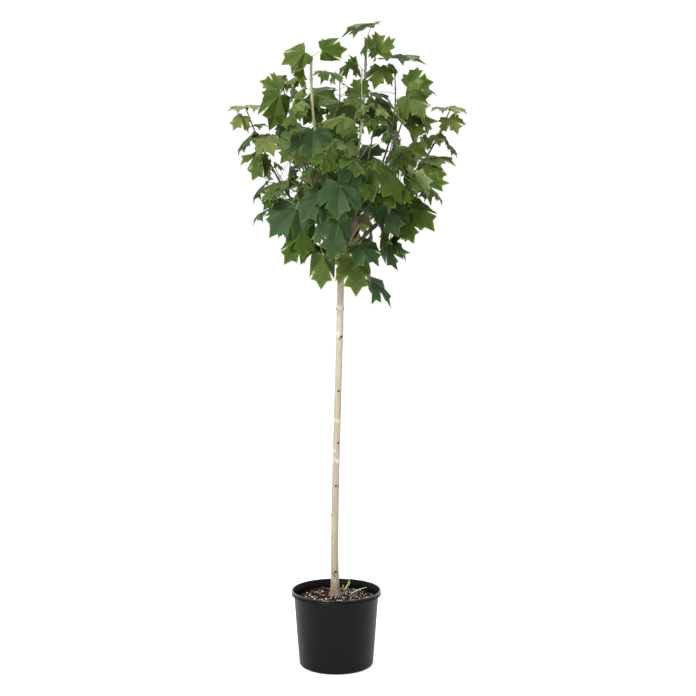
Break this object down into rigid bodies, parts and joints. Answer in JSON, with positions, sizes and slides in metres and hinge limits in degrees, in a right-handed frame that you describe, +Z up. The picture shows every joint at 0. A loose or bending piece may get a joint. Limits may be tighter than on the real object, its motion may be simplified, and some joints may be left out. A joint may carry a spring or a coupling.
{
  "type": "potted maple tree",
  "caption": "Young maple grown as a standard: a slim bare trunk carries a round head of lobed leaves and stands in a round black nursery pot filled with potting mix.",
  "frame": {"origin": "centre of the pot's flat underside, on the floor", "axes": "+Z up along the trunk, -Y towards the viewer of the picture, +X to the viewer's right"},
  "size_m": [0.7413, 0.7255, 2.0001],
  "materials": {
    "pot_plastic": "satin black",
    "potting_mix": "loose bark and peat",
    "bark": "smooth pale young bark",
    "foliage": "fresh green leaves"
  },
  "bodies": {
    "root": {"pot": "pot_plastic", "soil": "potting_mix", "trunk": "bark", "left_leader_bough": "bark", "centre_leader_bough": "bark", "right_leader_bough": "bark", "back_leader_bough": "bark", "left_riser_bough": "bark", "right_riser_bough": "bark", "right_arm_bough": "bark", "left_arm_bough": "bark", "front_left_arm_bough": "bark", "front_right_arm_bough": "bark", "back_left_arm_bough": "bark", "back_right_arm_bough": "bark", "low_left_spur_bough": "bark", "low_right_spur_bough": "bark", "low_front_spur_bough": "bark", "low_back_spur_bough": "bark", "hanging_spur_bough": "bark", "left_leader_leaves": "foliage", "centre_leader_leaves": "foliage", "right_leader_leaves": "foliage", "back_leader_leaves": "foliage", "left_riser_leaves": "foliage", "right_riser_leaves": "foliage", "right_arm_leaves": "foliage", "left_arm_leaves": "foliage", "front_left_arm_leaves": "foliage", "front_right_arm_leaves": "foliage", "back_left_arm_leaves": "foliage", "back_right_arm_leaves": "foliage", "low_left_spur_leaves": "foliage", "low_right_spur_leaves": "foliage", "low_front_spur_leaves": "foliage", "low_back_spur_leaves": "foliage", "hanging_spur_leaves": "foliage"}
  },
  "joints": []
}
